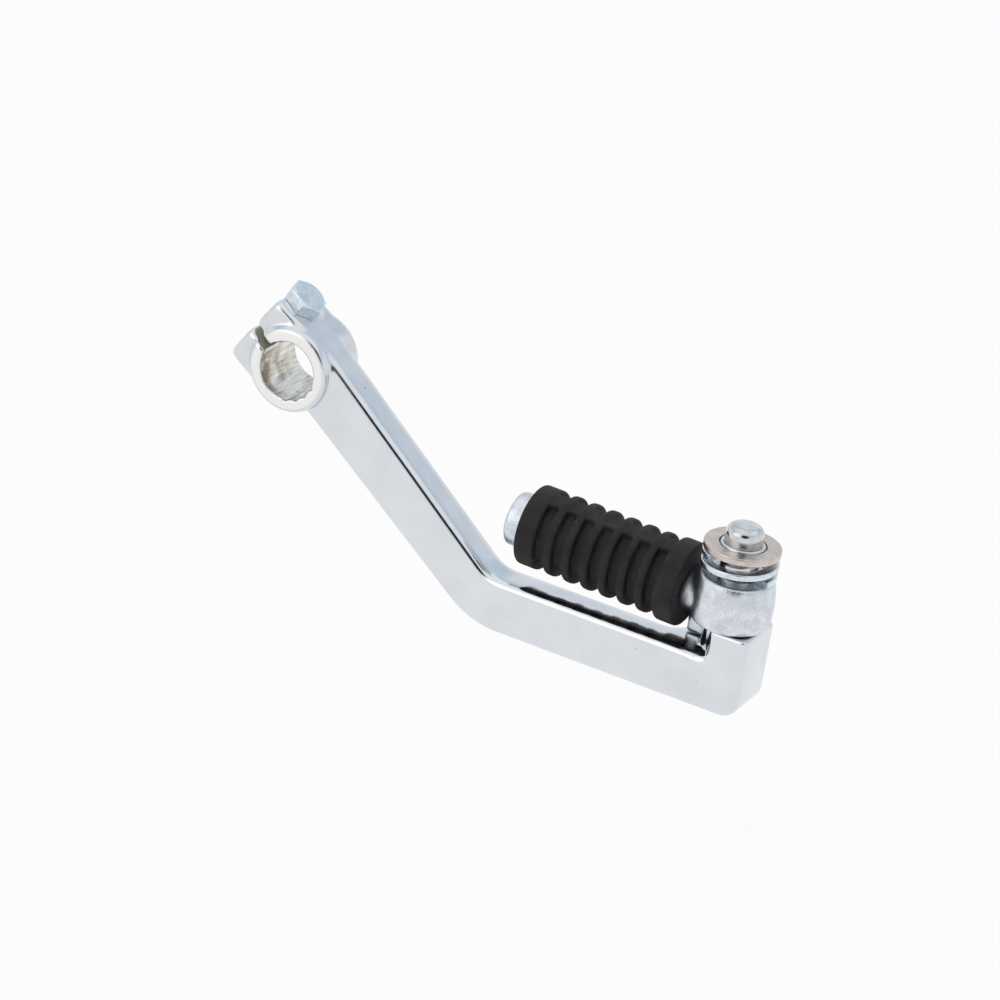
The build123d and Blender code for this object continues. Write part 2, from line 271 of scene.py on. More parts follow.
        # The clamp's hub is polished less than the arm
        dull_inputs = {
            "Value": reach,
            "From Min": self.dull_radius * MM,
            "From Max": (self.dull_radius + self.dull_fade) * MM,
            "To Min": 1.0,
            "To Max": 0.0,
        }
        dull = node(tree, "ShaderNodeMapRange", dull_inputs).outputs["Result"]
        for mask, more in ((dull, 0.13), (pits, 0.3), (on_end, 0.2), (in_bore, 0.1), (in_slot, 0.3)):
            more_inputs = {0: mask, 1: more, 2: rough}
            rough = node(tree, "ShaderNodeMath", more_inputs, operation="MULTIPLY_ADD").outputs[0]
        tree.links.new(rough, shader.inputs["Roughness"])
        # The slot's walls are dull and dark, so little of their metal shows
        metal_inputs = {0: in_slot, 1: -0.9, 2: 1.0}
        metal = node(tree, "ShaderNodeMath", metal_inputs, operation="MULTIPLY_ADD").outputs[0]
        tree.links.new(metal, shader.inputs["Metallic"])

        # Polishing waves 11 mm long bend the reflections a little, and hairlines 0.4 mm apart mark them
        wave_inputs = {"Vector": place, "Scale": per_size(self.wave_length), "Detail": 1.0}
        waves = node(tree, "ShaderNodeTexNoise", wave_inputs).outputs["Fac"]
        waved_inputs = {"Height": waves, "Distance": self.wave_height * MM}
        waved = node(tree, "ShaderNodeBump", waved_inputs).outputs["Normal"]
        slant_inputs = {"Vector": place, "Rotation": (0.3, 0.6, 0.2), "Scale": (0.05, 1.0, 1.0)}
        slanted = node(tree, "ShaderNodeMapping", slant_inputs).outputs["Vector"]
        hair_inputs = {"Vector": slanted, "Scale": per_size(self.hair_spacing), "Detail": 2.0}
        hairs = node(tree, "ShaderNodeTexNoise", hair_inputs).outputs["Fac"]
        marked_inputs = {
            "Height": hairs,
            "Distance": self.hair_height * MM,
            "Strength": 0.5,
            "Normal": waved,
        }
        marked = node(tree, "ShaderNodeBump", marked_inputs).outputs["Normal"]
        pitted_inputs = {
            "Height": pits,
            "Distance": self.pit_depth * MM,
            "Strength": 0.6,
            "Normal": marked,
        }
        pitted = node(tree, "ShaderNodeBump", pitted_inputs, invert=True).outputs["Normal"]
        tree.links.new(pitted, shader.inputs["Normal"])


@dataclass(frozen=True)
class PlatedCasting(Finish):
    """Bright plating on a blasted steel casting: satin silver whose grain glitters, coarser higher up.

    Sizes and heights are in millimetres.
    """

    light: str = "EAEDF2"
    dark: str = "D3D8E0"
    lump: str = "E4E7EA"
    grain: float = 0.5
    grain_height: float = 0.08
    lump_width: float = 3.5
    lump_height: float = 0.25
    smooth_below: float = -30.0
    coarse_above: float = -20.0

    def dress(self, tree: bpy.types.NodeTree, shader: bpy.types.Node, place: bpy.types.NodeSocket) -> None:
        """Links the casting's grain and tone.

        Args:
            tree: The material's node tree.
            shader: Its Principled shader.
            place: Object coordinates, in metres.
        """
        height = node(tree, "ShaderNodeSeparateXYZ", {"Vector": place}).outputs["Z"]
        coarse_inputs = {
            "Value": height,
            "From Min": self.smooth_below * MM,
            "From Max": self.coarse_above * MM,
            "To Min": 0.2,
            "To Max": 1.3,
        }
        coarse = node(tree, "ShaderNodeMapRange", coarse_inputs).outputs["Result"]
        # Blasted grain about half a millimetre wide, on lumps of 3.5 mm
        grain_inputs = {"Vector": place, "Scale": per_size(self.grain), "Detail": 4.0}
        grains = node(tree, "ShaderNodeTexNoise", grain_inputs).outputs["Fac"]
        lump_inputs = {"Vector": place, "Scale": per_size(self.lump_width), "Detail": 2.0}
        lumps = node(tree, "ShaderNodeTexNoise", lump_inputs).outputs["Fac"]
        grain_stops = [(0.34, self.dark), (0.56, self.light)]
        grained = node(tree, "ShaderNodeValToRGB", {"Fac": grains}, grain_stops).outputs["Color"]
        lump_stops = [(0.3, self.lump), (0.7, "FFFFFF")]
        lumped = node(tree, "ShaderNodeValToRGB", {"Fac": lumps}, lump_stops).outputs["Color"]
        tone_inputs = {"Factor": 1.0, 6: grained, 7: lumped}
        tone = node(tree, "ShaderNodeMix", tone_inputs, data_type="RGBA", blend_type="MULTIPLY").outputs[2]
        tree.links.new(tone, shader.inputs["Base Color"])
        rough_inputs = {"Value": grains, "From Min": 0.3, "From Max": 0.7, "To Min": 0.27, "To Max": 0.42}
        rough = node(tree, "ShaderNodeMapRange", rough_inputs).outputs["Result"]
        tree.links.new(rough, shader.inputs["Roughness"])
        shader.inputs["Metallic"].default_value = 1.0
        rise = node(tree, "ShaderNodeMath", {0: grains, 1: coarse}, operation="MULTIPLY").outputs[0]
        grain_bump = {"Height": rise, "Distance": self.grain_height * MM, "Strength": 0.6}
        grainy = node(tree, "ShaderNodeBump", grain_bump).outputs["Normal"]
        lump_bump = {
            "Height": lumps,
            "Distance": self.lump_height * MM,
            "Strength": 0.5,
            "Normal": grainy,
        }
        tree.links.new(node(tree, "ShaderNodeBump", lump_bump).outputs["Normal"], shader.inputs["Normal"])


@dataclass(frozen=True)
class ZincPlate(Finish):
    """Blue passivated zinc plate on rolled steel: satin, with a faint blue-green cloud.

    Sizes are in millimetres.
    """

    blue: str = "BFD0DC"
    green: str = "C6D3D2"
    pale: str = "DFE7EC"
    cloud_width: float = 4.0
    grain: float = 0.3
    grain_height: float = 0.01

    def dress(self, tree: bpy.types.NodeTree, shader: bpy.types.Node, place: bpy.types.NodeSocket) -> None:
        """Links the plate's clouds, grain and shine.

        Args:
            tree: The material's node tree.
            shader: Its Principled shader.
            place: Object coordinates, in metres.
        """
        # Clouds 4 mm wide, and plating grain drawn at 0.3 mm, coarser than the real one, so that it shows
        cloud_inputs = {"Vector": place, "Scale": per_size(self.cloud_width), "Detail": 3.0}
        clouds = node(tree, "ShaderNodeTexNoise", cloud_inputs).outputs["Fac"]
        cloud_stops = [(0.32, self.blue), (0.5, self.pale), (0.66, self.green)]
        colour = node(tree, "ShaderNodeValToRGB", {"Fac": clouds}, cloud_stops).outputs["Color"]
        tree.links.new(colour, shader.inputs["Base Color"])
        grain_inputs = {"Vector": place, "Scale": per_size(self.grain), "Detail": 3.0}
        grain = node(tree, "ShaderNodeTexNoise", grain_inputs).outputs["Fac"]
        rough_inputs = {"Value": grain, "From Min": 0.3, "From Max": 0.7, "To Min": 0.2, "To Max": 0.3}
        rough = node(tree, "ShaderNodeMapRange", rough_inputs).outputs["Result"]
        tree.links.new(rough, shader.inputs["Roughness"])
        shader.inputs["Metallic"].default_value = 1.0
        bump_inputs = {"Height": grain, "Distance": self.grain_height * MM, "Strength": 0.5}
        tree.links.new(node(tree, "ShaderNodeBump", bump_inputs).outputs["Normal"], shader.inputs["Normal"])


@dataclass(frozen=True)
class GroundSteel(Finish):
    """Bare punched steel, barrelled after stamping: warm pale grey, with fine lines across and dull spots.

    Sizes are in millimetres.
    """

    light: str = "E0D5CD"
    dark: str = "C2B5AC"
    line: float = 0.35
    line_height: float = 0.01
    spot_width: float = 2.2

    def dress(self, tree: bpy.types.NodeTree, shader: bpy.types.Node, place: bpy.types.NodeSocket) -> None:
        """Links the rolling lines, spots and shine.

        Args:
            tree: The material's node tree.
            shader: Its Principled shader.
            place: Object coordinates, in metres.
        """
        # Rolling lines about a third of a millimetre apart, and dull spots of about 2 mm
        drawn_inputs = {"Vector": place, "Rotation": (0.0, 0.0, 0.5), "Scale": (0.06, 1.0, 1.0)}
        drawn = node(tree, "ShaderNodeMapping", drawn_inputs).outputs["Vector"]
        line_inputs = {"Vector": drawn, "Scale": per_size(self.line), "Detail": 3.0}
        lines = node(tree, "ShaderNodeTexNoise", line_inputs).outputs["Fac"]
        spot_inputs = {"Vector": place, "Scale": per_size(self.spot_width), "Detail": 4.0}
        spots = node(tree, "ShaderNodeTexNoise", spot_inputs).outputs["Fac"]
        both = node(tree, "ShaderNodeMath", {0: lines, 1: spots}, operation="ADD").outputs[0]
        half = node(tree, "ShaderNodeMath", {0: both, 1: 0.5}, operation="MULTIPLY").outputs[0]
        tone_stops = [(0.38, self.dark), (0.6, self.light)]
        colour = node(tree, "ShaderNodeValToRGB", {"Fac": half}, tone_stops).outputs["Color"]
        tree.links.new(colour, shader.inputs["Base Color"])
        rough_inputs = {"Value": spots, "From Min": 0.3, "From Max": 0.7, "To Min": 0.28, "To Max": 0.42}
        rough = node(tree, "ShaderNodeMapRange", rough_inputs).outputs["Result"]
        tree.links.new(rough, shader.inputs["Roughness"])
        shader.inputs["Metallic"].default_value = 1.0
        bump_inputs = {"Height": lines, "Distance": self.line_height * MM, "Strength": 0.5}
        tree.links.new(node(tree, "ShaderNodeBump", bump_inputs).outputs["Normal"], shader.inputs["Normal"])


@dataclass(frozen=True)
class PolishedSteel(Finish):
    """Turned and polished steel: bright, with fine rings round the pin's axis.

    Sizes and places are in millimetres.
    """

    axis_x: float
    axis_y: float
    light: str = "DADCDF"
    dark: str = "C4C6C9"
    ring: float = 0.3
    ring_height: float = 0.004
    stain_width: float = 2.5

    def dress(self, tree: bpy.types.NodeTree, shader: bpy.types.Node, place: bpy.types.NodeSocket) -> None:
        """Links the turning rings and the shine.

        Args:
            tree: The material's node tree.
            shader: Its Principled shader.
            place: Object coordinates, in metres.
        """
        # Turning rings 0.3 mm apart round the pin; a wave texture repeats 20 times in one unit of its scale
        moved_inputs = {"Vector": place, "Location": (-self.axis_x * MM, -self.axis_y * MM, 0.0)}
        moved = node(tree, "ShaderNodeMapping", moved_inputs).outputs["Vector"]
        ring_inputs = {"Vector": moved, "Scale": per_size(self.ring) / 20, "Distortion": 1.5, "Detail": 2.0}
        ring_kind = {"wave_type": "RINGS", "rings_direction": "Z"}
        rings = node(tree, "ShaderNodeTexWave", ring_inputs, **ring_kind).outputs["Fac"]
        stain_inputs = {"Vector": place, "Scale": per_size(self.stain_width), "Detail": 3.0}
        stains = node(tree, "ShaderNodeTexNoise", stain_inputs).outputs["Fac"]
        stain_stops = [(0.35, self.dark), (0.6, self.light)]
        colour = node(tree, "ShaderNodeValToRGB", {"Fac": stains}, stain_stops).outputs["Color"]
        tree.links.new(colour, shader.inputs["Base Color"])
        rough_inputs = {"Value": stains, "From Min": 0.3, "From Max": 0.7, "To Min": 0.1, "To Max": 0.2}
        rough = node(tree, "ShaderNodeMapRange", rough_inputs).outputs["Result"]
        tree.links.new(rough, shader.inputs["Roughness"])
        shader.inputs["Metallic"].default_value = 1.0
        bump_inputs = {"Height": rings, "Distance": self.ring_height * MM, "Strength": 0.4}
        tree.links.new(node(tree, "ShaderNodeBump", bump_inputs).outputs["Normal"], shader.inputs["Normal"])


@dataclass(frozen=True)
class MouldedRubber(Finish):
    """Black moulded rubber: matte charcoal with a pebbled mould skin and dust in specks.

    Sizes are in millimetres.
    """

    black: str = "201D1D"
    grey: str = "373333"
    dust: str = "8A857E"
    tone_width: float = 5.0
    speck_spacing: float = 1.3
    patch_width: float = 10.0
    pebble: float = 0.45
    pebble_height: float = 0.06

    def dress(self, tree: bpy.types.NodeTree, shader: bpy.types.Node, place: bpy.types.NodeSocket) -> None:
        """Links the rubber's tone, dust and mould skin.

        Args:
            tree: The material's node tree.
            shader: Its Principled shader.
            place: Object coordinates, in metres.
        """
        # Lighter and darker patches 5 mm wide
        tone_inputs = {"Vector": place, "Scale": per_size(self.tone_width), "Detail": 5.0}
        tones = node(tree, "ShaderNodeTexNoise", tone_inputs).outputs["Fac"]
        tone_stops = [(0.35, self.black), (0.68, self.grey)]
        tone = node(tree, "ShaderNodeValToRGB", {"Fac": tones}, tone_stops).outputs["Color"]
        # Dust specks drawn at a quarter of a millimetre, so that they show, thicker in patches of 10 mm
        cell_inputs = {"Vector": place, "Scale": per_size(self.speck_spacing)}
        cells = node(tree, "ShaderNodeTexVoronoi", cell_inputs, feature="F1").outputs["Distance"]
        patch_inputs = {"Vector": place, "Scale": per_size(self.patch_width), "Detail": 2.0}
        patches = node(tree, "ShaderNodeTexNoise", patch_inputs).outputs["Fac"]
        width_inputs = {"Value": patches, "From Min": 0.4, "From Max": 0.7, "To Min": 0.02, "To Max": 0.14}
        widths = node(tree, "ShaderNodeMapRange", width_inputs).outputs["Result"]
        dusty = node(tree, "ShaderNodeMath", {0: cells, 1: widths}, operation="LESS_THAN").outputs[0]
        thin = node(tree, "ShaderNodeMath", {0: dusty, 1: 0.6}, operation="MULTIPLY").outputs[0]
        dust_inputs = {"Factor": thin, 6: tone, 7: linear(self.dust)}
        colour = node(tree, "ShaderNodeMix", dust_inputs, data_type="RGBA").outputs[2]
        tree.links.new(colour, shader.inputs["Base Color"])
        rough_inputs = {"Value": tones, "From Min": 0.3, "From Max": 0.7, "To Min": 0.6, "To Max": 0.78}
        rough = node(tree, "ShaderNodeMapRange", rough_inputs).outputs["Result"]
        tree.links.new(rough, shader.inputs["Roughness"])
        shader.inputs["Specular IOR Level"].default_value = 0.28
        # Pebbled skin of the mould, about half a millimetre wide
        skin_inputs = {"Vector": place, "Scale": per_size(self.pebble), "Detail": 3.0}
        skin = node(tree, "ShaderNodeTexNoise", skin_inputs).outputs["Fac"]
        bump_inputs = {"Height": skin, "Distance": self.pebble_height * MM, "Strength": 0.5}
        tree.links.new(node(tree, "ShaderNodeBump", bump_inputs).outputs["Normal"], shader.inputs["Normal"])


def flatten(name: str, rough: bpy.types.Object) -> bpy.types.Object:
    """Turns an object with live modifiers into a plain mesh object and removes the first one.

    Args:
        name: Name of the new object.
        rough: Object whose evaluated mesh is kept.

    Returns:
        The new object, at the origin, with smooth faces.
    """
    bpy.context.view_layer.update()
    evaluated = rough.evaluated_get(bpy.context.evaluated_depsgraph_get())
    mesh = bpy.data.meshes.new_from_object(evaluated)
    mesh.name = name
    bpy.data.objects.remove(rough)
    mesh.polygons.foreach_set("use_smooth", [True] * len(mesh.polygons))
    made = bpy.data.objects.new(name, mesh)
    bpy.context.scene.collection.objects.link(made)
    return made


def recast(name: str, source: bpy.types.Object, grid: float, rounds: int,
           share: Optional[Callable[[Vector], float]] = None) -> bpy.types.Object:
    """Remeshes a solid finely and softens its edges, as plating and casting do.

    Args:
        name: Name of the new object.
        source: Object whose mesh is copied, left as it is.
        grid: Size of the new mesh's cells, in millimetres.
        rounds: How many times the new mesh is smoothed.
        share: Gives for a point, in metres, the share of the smoothing that it gets, from 0 to 1.

    Returns:
        The softened object.
    """
    shell = bmesh.new()
    shell.from_mesh(source.data)
    bmesh.ops.remove_doubles(shell, verts=shell.verts, dist=WELD * MM)
    mesh = bpy.data.meshes.new(name + "_rough")
    shell.to_mesh(mesh)
    shell.free()
    rough = bpy.data.objects.new(name + "_rough", mesh)
    bpy.context.scene.collection.objects.link(rough)
    remesh = rough.modifiers.new("cells", "REMESH")
    remesh.mode = "VOXEL"
    remesh.voxel_size = grid * MM
    cells = flatten(name + "_cells", rough)
    soft = cells.vertex_groups.new(name="soft")
    for corner in cells.data.vertices:
        soft.add([corner.index], share(corner.co) if share else 1.0, "REPLACE")
    smooth = cells.modifiers.new("soften", "SMOOTH")
    smooth.factor = SMOOTHING
    smooth.iterations = rounds
    smooth.vertex_group = soft.name
    return flatten(name, cells)


def put_on(piece: bpy.types.Object, material: bpy.types.Material, body: Body,
           replaced: str) -> None:
    """Gives a piece its finish and its body, and hides the CAD node that it stands for.

    Args:
        piece: Finished object.
        material: Its finish.
        body: Body that it moves with.
        replaced: Name of the CAD node.
    """
    piece.data.materials.clear()
    piece.data.materials.append(material)
    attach(piece, body.value)
    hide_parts(replaced)
    LOG.info("%s: %d faces on %s", piece.name, len(piece.data.polygons), body.value)


class NodeMaker:
    """A Geometry Nodes tree with named inputs, run once to give a plain mesh."""

    def __init__(self, name: str) -> None:
        """Starts an empty tree with a geometry output."""
        self.tree = bpy.data.node_groups.new(name, "GeometryNodeTree")
        self.tree.interface.new_socket("Geometry", in_out="OUTPUT", socket_type="NodeSocketGeometry")
        self.values: dict[str, Any] = {}
        self.source = node(self.tree, "NodeGroupInput")

    def size(self, name: str, value: Any, kind: str = "NodeSocketFloat") -> bpy.types.NodeSocket:
        """Adds a named input.

        Args:
            name: Name of the input.
            value: What the modifier sets it to.
            kind: Socket type.

        Returns:
            The socket that the tree's nodes link from.
        """
        socket = self.tree.interface.new_socket(name, in_out="INPUT", socket_type=kind)
        self.values[socket.identifier] = value
        return self.source.outputs[name]

    def run(self, name: str, geometry: bpy.types.NodeSocket,
            material: bpy.types.Material) -> bpy.types.Object:
        """Ends the tree, runs it on an empty mesh and keeps the result.

        Args:
            name: Name of the new object.
            geometry: Socket with the whole shape.
            material: Finish set on the shape.

        Returns:
            A plain mesh object in the tree's own coordinates.
        """
        real = node(self.tree, "GeometryNodeRealizeInstances", {"Geometry": geometry}).outputs[0]
        socket = self.size("Material", material, "NodeSocketMaterial")
        dress_inputs = {"Geometry": real, "Material": socket}
        dressed = node(self.tree, "GeometryNodeSetMaterial", dress_inputs).outputs[0]
        node(self.tree, "NodeGroupOutput", {"Geometry": dressed})
        rough = bpy.data.objects.new(name + "_nodes", bpy.data.meshes.new(name + "_nodes"))
        bpy.context.scene.collection.objects.link(rough)
        modifier = rough.modifiers.new("shape", "NODES")
        modifier.node_group = self.tree
        for identifier, value in self.values.items():
            modifier[identifier] = value
        return flatten(name, rough)


@dataclass
class CrankLever:
    """The chromed casting: clamp hub with its lug, bent arm and boss, with the pinch bolt in the lug.

    Sizes and places are in millimetres, and shares are shares of the smoothing.
    """

    chrome: Finish
    zinc: Finish
    bore_radius: float
    slot_angle: float
    slot_width: float
    bore_rim: float = 1.6
    foot: tuple[float, float, float] = (134.2, -7.1, -39.6)
    foot_reach: float = 9.0
    lug_from: float = 12.4
    lug_share: float = 1.2
    slot_from: float = 10.6
    slot_share: float = 0.6
    arm_grid: float = 0.405
    arm_rounds: int = 110
    arm_share: float = 0.24
    bolt_grid: float = 0.16
    bolt_rounds: int = 3

    def share(self, point: Vector) -> float:
        """Gives the share of the smoothing for a point of the arm.

        Args:
            point: Point of the arm, in metres.

        Returns:
            0 in the bore and its grooves, whose edges stay crisp, more on the arm, the lug and the slot's
            edges, and 1 at the boss's foot.
        """
        turn = math.radians(self.slot_angle)
        along = point.x * math.cos(turn) + point.z * math.sin(turn)
        aside = abs(point.z * math.cos(turn) - point.x * math.sin(turn))
        reach = math.hypot(point.x, point.z)
        in_slot = along > 0 and aside < (self.slot_width / 2 + self.bore_rim) * MM
        if not in_slot and reach < (self.bore_radius + self.bore_rim) * MM:
            return 0.0
        # 1 within half the foot's reach, and less from there on
        at_foot = min(1.0, 2 - 2 * (point - Vector(self.foot) * MM).length / (self.foot_reach * MM))
        clear = min(1.0, max(0.0, aside / ((self.slot_width / 2 + self.bore_rim) * MM) - 1))
        on_lug = self.lug_share * min(1.0, reach / (self.lug_from * MM) - 1) * (along > 0) * clear
        beside = self.slot_share if in_slot and reach > self.slot_from * MM else 0.0
        return max(self.arm_share, at_foot, on_lug, beside)

    def build(self) -> None:
        """Makes the arm and the bolt and dresses them."""
        arm = recast("chromed_arm", frame["nodes"]["lever_arm"], self.arm_grid, self.arm_rounds, self.share)
        put_on(arm, self.chrome.make(), Body.LEVER, "lever_arm")
        bolt = recast("clamp_bolt", frame["nodes"]["pinch_bolt"], self.bolt_grid, self.bolt_rounds)
        put_on(bolt, self.zinc.make(), Body.LEVER, "pinch_bolt")


@dataclass
class PivotStack:
    """The pin that the pedal turns on, with its coil spring, washer and retaining ring.

    Sizes and heights are in millimetres.
    """

    polished: Finish
    ground: Finish
    zinc: Finish
    axis_x: float
    axis_y: float
    coil_radius: float = 9.0
    coil_start: float = -16.4
    coil_rise: float = 5.0
    coil_turns: float = 1.715
    coil_turn_from: float = -18.0
    coil_steps: int = 96
    wire_width: float = 3.0
    wire_height: float = 1.8
    wire_edge: float = 0.4
    pin_grid: float = 0.2
    washer_grid: float = 0.2
    ring_grid: float = 0.1
    pin_rounds: int = 14
    rounds: int = 3

    def coil(self, material: bpy.types.Material) -> bpy.types.Object:
        """Sweeps the flat wire along its helix.

        Args:
            material: Finish of the wire.

        Returns:
            The spring, in its place.
        """
        maker = NodeMaker("flat_wire_coil")
        tree = maker.tree
        radius = maker.size("Coil Radius", self.coil_radius * MM)
        turns = maker.size("Turns", self.coil_turns)
        rise = maker.size("Rise", self.coil_rise * MM)
        width = maker.size("Wire Width", self.wire_width * MM)
        height = maker.size("Wire Height", self.wire_height * MM)
        edge = maker.size("Wire Edge", self.wire_edge * MM)
        path_inputs = {
            "Resolution": self.coil_steps,
            "Rotations": turns,
            "Start Radius": radius,
            "End Radius": radius,
            "Height": rise,
            "Reverse": True,
        }
        path = node(tree, "GeometryNodeCurveSpiral", path_inputs).outputs["Curve"]
        upright = node(tree, "GeometryNodeSetCurveNormal", {"Curve": path}, mode="Z_UP").outputs["Curve"]
        outline_inputs = {"Width": width, "Height": height}
        outline = node(tree, "GeometryNodeCurvePrimitiveQuadrilateral", outline_inputs).outputs["Curve"]
        rounded_inputs = {"Curve": outline, "Radius": edge, "Count": CORNER_STEPS}
        rounded = node(tree, "GeometryNodeFilletCurve", rounded_inputs, mode="POLY").outputs["Curve"]
        wire_inputs = {"Curve": upright, "Profile Curve": rounded, "Fill Caps": True}
        wire = node(tree, "GeometryNodeCurveToMesh", wire_inputs).outputs["Mesh"]
        spring = maker.run("pedal_coil", wire, material)
        shift = Matrix.Translation(Vector((self.axis_x, self.axis_y, self.coil_start)) * MM)
        spring.data.transform(shift @ Matrix.Rotation(math.radians(self.coil_turn_from), 4, "Z"))
        return spring

    def build(self) -> None:
        """Makes the pin, ring, washer and spring and dresses them."""
        polished = self.polished.make()
        pin = recast("domed_pin", frame["nodes"]["pivot_pin"], self.pin_grid, self.pin_rounds)
        put_on(pin, polished, Body.LEVER, "pivot_pin")
        ring = recast("wire_ring", frame["nodes"]["retaining_ring"], self.ring_grid, self.rounds)
        put_on(ring, polished, Body.LEVER, "retaining_ring")
        washer = recast("pin_washer", frame["nodes"]["flat_washer"], self.washer_grid, self.rounds)
        put_on(washer, self.ground.make(), Body.LEVER, "flat_washer")
        zinc = self.zinc.make()
        put_on(self.coil(zinc), zinc, Body.LEVER, "pedal_spring")


@dataclass
class FoldingPedal:
    """The cast pedal with its hub, peg and leg, and the ribbed rubber on the peg.

    Sizes and places are in millimetres.
    """

    casting: Finish
    rubber: Finish
    axis_x: float
    axis_y: float
    axis_z: float
    tilt: float = 1.5
    casting_grid: float = 0.3
    casting_rounds: int = 30
    root_gap: float = 12.6
    rubber_length: float = 48.2
    rubber_radius: float = 11.3
    flange_radius: float = 11.7
    groove_radius: float = 9.1
    hole_radius: float = 5.4
    collar: float = 5.8
    rib_count: int = 6
    rib_width: float = 2.5
    rib_pitch: float = 5.586
    web_count: int = 2
    web_width: float = 5.2
    web_drop: float = 0.45
    web_from: float = 103.0
    edge: float = 0.6
    round_steps: int = 160
    rubber_grid: float = 0.305
    rubber_rounds: int = 5

    def band(self, maker: NodeMaker, name: str, outer: float, inner: float,
             width: float) -> bpy.types.NodeSocket:
        """Adds a ring of rectangular section with rounded corners, round the tree's Z axis.

        Args:
            maker: Tree that gets the ring.
            name: First word of the names of its inputs.
            outer: Outer radius.
            inner: Inner radius.
            width: Width along the axis.

        Returns:
            The ring's mesh socket.
        """
        tree = maker.tree
        middle = maker.size(name + " Middle Radius", (outer + inner) / 2 * MM)
        thick = maker.size(name + " Thickness", (outer - inner) * MM)
        wide = maker.size(name + " Width", width * MM)
        circle_inputs = {"Resolution": self.round_steps, "Radius": middle}
        circle = node(tree, "GeometryNodeCurvePrimitiveCircle", circle_inputs).outputs["Curve"]
        upright = node(tree, "GeometryNodeSetCurveNormal", {"Curve": circle}, mode="Z_UP").outputs["Curve"]
        section_inputs = {"Width": thick, "Height": wide}
        section = node(tree, "GeometryNodeCurvePrimitiveQuadrilateral", section_inputs).outputs["Curve"]
        rounded_inputs = {"Curve": section, "Radius": self.edge * MM, "Count": CORNER_STEPS}
        rounded = node(tree, "GeometryNodeFilletCurve", rounded_inputs, mode="POLY").outputs["Curve"]
        band_inputs = {"Curve": upright, "Profile Curve": rounded}
        return node(tree, "GeometryNodeCurveToMesh", band_inputs).outputs["Mesh"]

    def lift(self, maker: NodeMaker, mesh: bpy.types.NodeSocket, height: float) -> bpy.types.NodeSocket:
        """Moves a mesh height millimetres along the tree's Z axis and returns it."""
        inputs = {"Geometry": mesh, "Translation": (0.0, 0.0, height * MM)}
        return node(maker.tree, "GeometryNodeTransform", inputs).outputs["Geometry"]

    def grip(self, material: bpy.types.Material) -> bpy.types.Object:
        """Repeats ribs and webs on a sleeve between two collars, then moulds them into one skin.

        Args:
            material: Finish of the rubber.

        Returns:
            The rubber, in its place.
        """
        maker = NodeMaker("ribbed_grip")
        tree = maker.tree
        half = self.rubber_length / 2
        sleeve = self.band(maker, "Sleeve", self.groove_radius, self.hole_radius, self.rubber_length)
        end = half - self.collar / 2
        outer_collar = self.band(maker, "Left Collar", self.rubber_radius, self.hole_radius, self.collar)
        left = self.lift(maker, outer_collar, -end)
        inner_collar = self.band(maker, "Right Collar", self.flange_radius, self.hole_radius, self.collar)
        right = self.lift(maker, inner_collar, end)
        rib = self.band(maker, "Rib", self.rubber_radius, self.hole_radius, self.rib_width)
        count = maker.size("Rib Count", self.rib_count, "NodeSocketInt")
        first = (0.0, 0.0, -self.rib_pitch * (self.rib_count - 1) / 2 * MM)
        row_inputs = {"Count": count, "Start Location": first, "Offset": (0.0, 0.0, self.rib_pitch * MM)}
        row = node(tree, "GeometryNodeMeshLine", row_inputs).outputs["Mesh"]
        rib_inputs = {"Points": row, "Instance": rib}
        ribs = node(tree, "GeometryNodeInstanceOnPoints", rib_inputs).outputs["Instances"]
        web_inner = self.hole_radius + self.edge
        web_outer = self.rubber_radius - self.web_drop
        bar_length = self.rubber_length - self.collar
        bar_size = ((web_outer - web_inner) * MM, self.web_width * MM, bar_length * MM)
        bar = node(tree, "GeometryNodeMeshCube", {"Size": bar_size}).outputs["Mesh"]
        webs = maker.size("Web Count", self.web_count, "NodeSocketInt")
        reach = (web_outer + web_inner) / 2 * MM
        post_inputs = {"Count": webs, "Start Location": (reach, 0.0, 0.0), "Offset": (-2 * reach, 0.0, 0.0)}
        posts = node(tree, "GeometryNodeMeshLine", post_inputs).outputs["Mesh"]
        spot = node(tree, "GeometryNodeInputPosition").outputs["Position"]
        facing_inputs = {"Vector": spot}
        facing = node(tree, "FunctionNodeAlignRotationToVector", facing_inputs, axis="X").outputs["Rotation"]
        bar_inputs = {"Points": posts, "Instance": bar, "Rotation": facing}
        bars = node(tree, "GeometryNodeInstanceOnPoints", bar_inputs).outputs["Instances"]
        turned_inputs = {"Geometry": bars, "Rotation": (0.0, 0.0, math.radians(self.web_from))}
        turned = node(tree, "GeometryNodeTransform", turned_inputs).outputs["Geometry"]
        join = node(tree, "GeometryNodeJoinGeometry")
        for part in (sleeve, left, right, ribs, turned):
            tree.links.new(part, join.inputs[0])
        sharp = maker.run("grip_sharp", join.outputs["Geometry"], material)
        # The tree's Z axis becomes the peg's, which falls towards the pin, and its X axis points engine-wards
        lie = Matrix(((0, 0, 1, 0), (1, 0, 0, 0), (0, 1, 0, 0), (0, 0, 0, 1)))
        fall = Matrix.Rotation(math.radians(self.tilt), 4, "Y")
        back = Matrix.Translation(Vector((-self.root_gap - half, 0.0, 0.0)) * MM)
        pin = Matrix.Translation(Vector((self.axis_x, self.axis_y, self.axis_z)) * MM)
        sharp.data.transform(pin @ fall @ back @ lie)
        grip = recast("ribbed_rubber", sharp, self.rubber_grid, self.rubber_rounds)
        bpy.data.objects.remove(sharp)
        return grip

    def build(self) -> None:
        """Makes the casting and the rubber and dresses them."""
        solid = frame["nodes"]["folding_pedal"]
        casting = recast("cast_pedal", solid, self.casting_grid, self.casting_rounds)
        put_on(casting, self.casting.make(), Body.PEDAL, "folding_pedal")
        rubber = self.rubber.make()
        put_on(self.grip(rubber), rubber, Body.PEDAL, "pedal_rubber")


